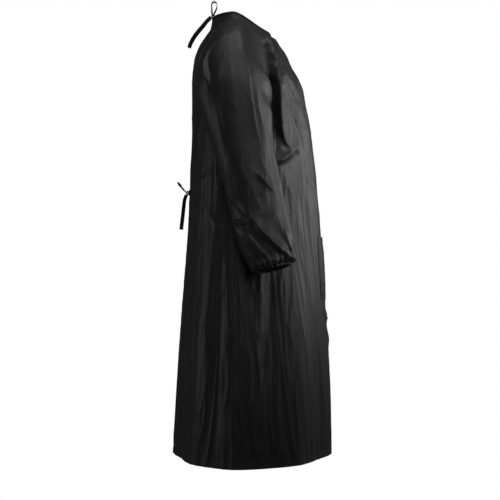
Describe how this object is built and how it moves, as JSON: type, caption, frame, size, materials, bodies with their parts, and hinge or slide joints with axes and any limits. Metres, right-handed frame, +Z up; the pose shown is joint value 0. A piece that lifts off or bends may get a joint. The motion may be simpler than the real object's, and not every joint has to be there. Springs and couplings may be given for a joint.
{
  "type": "artist smock apron",
  "caption": "Long-sleeved artist smock of black coated cloth with an overlapping back, bow ties at neck and waist, and gathered cuffs, shaped as worn.",
  "frame": {"origin": "middle of the neck opening at the height of the side neck points, where the garment hangs on the wearer", "axes": "+Z up along the hanging garment, front towards -Y, the wearer's right at -X"},
  "size_m": [0.671, 0.433, 1.2444],
  "materials": {
    "coated_cloth": "coated woven polyester, soft sheen",
    "tape": "woven polyester tape, matt",
    "elastic": "braided elastic"
  },
  "bodies": {
    "torso": {"front_panel": "coated_cloth", "left_back_panel": "coated_cloth", "right_back_panel": "coated_cloth", "front_pocket": "coated_cloth", "neck_binding": "tape", "neck_knot": "tape", "waist_knot": "tape", "right_waist_tie": "tape", "left_waist_tie": "tape", "right_neck_loop": "tape", "left_neck_loop": "tape", "right_waist_loop": "tape", "left_waist_loop": "tape", "right_sleeve_head": "coated_cloth", "left_sleeve_head": "coated_cloth"},
    "right_upper_arm": {"right_armhole_sleeve": "coated_cloth", "right_upper_sleeve": "coated_cloth", "right_elbow_sleeve": "coated_cloth"},
    "right_forearm": {"right_lower_sleeve": "coated_cloth", "right_cuff_casing": "coated_cloth", "right_cuff_elastic": "elastic"},
    "right_neck_tail_end": {"right_neck_tail": "tape"},
    "right_waist_tail_end": {"right_waist_tail": "tape"},
    "left_upper_arm": {"left_armhole_sleeve": "coated_cloth", "left_upper_sleeve": "coated_cloth", "left_elbow_sleeve": "coated_cloth"},
    "left_forearm": {"left_lower_sleeve": "coated_cloth", "left_cuff_casing": "coated_cloth", "left_cuff_elastic": "elastic"},
    "left_neck_tail_end": {"left_neck_tail": "tape"},
    "left_waist_tail_end": {"left_waist_tail": "tape"}
  },
  "joints": [
    {"name": "right_shoulder", "type": "hinge", "parent": "torso", "child": "right_upper_arm", "pos_m": [-0.238, -0.005, -0.331], "axis": [-0.9889, 0, -0.1483], "range_deg": [-15, 40], "deforming": ["right_armhole_sleeve"]},
    {"name": "right_elbow", "type": "hinge", "parent": "right_upper_arm", "child": "right_forearm", "pos_m": [-0.256, -0.039, -0.484], "axis": [-0.995, 0, -0.0995], "range_deg": [0, 70], "deforming": ["right_elbow_sleeve"]},
    {"name": "left_shoulder", "type": "hinge", "parent": "torso", "child": "left_upper_arm", "pos_m": [0.238, -0.005, -0.331], "axis": [-0.9889, 0, 0.1483], "range_deg": [-15, 40], "deforming": ["left_armhole_sleeve"]},
    {"name": "left_elbow", "type": "hinge", "parent": "left_upper_arm", "child": "left_forearm", "pos_m": [0.256, -0.039, -0.484], "axis": [-0.995, 0, 0.0995], "range_deg": [0, 70], "deforming": ["left_elbow_sleeve"]},
    {"name": "right_neck_tail_swing", "type": "hinge", "parent": "torso", "child": "right_neck_tail_end", "pos_m": [-0.005, 0.0735, 0.0015], "axis": [1, 0, 0], "range_deg": [-8, 40]},
    {"name": "right_waist_tail_swing", "type": "hinge", "parent": "torso", "child": "right_waist_tail_end", "pos_m": [-0.0046, 0.1435, -0.4925], "axis": [1, 0, 0], "range_deg": [-5, 50]},
    {"name": "left_neck_tail_swing", "type": "hinge", "parent": "torso", "child": "left_neck_tail_end", "pos_m": [0.005, 0.0735, 0.0015], "axis": [1, 0, 0], "range_deg": [-8, 40]},
    {"name": "left_waist_tail_swing", "type": "hinge", "parent": "torso", "child": "left_waist_tail_end", "pos_m": [0.0046, 0.1435, -0.4925], "axis": [1, 0, 0], "range_deg": [-5, 50]}
  ]
}
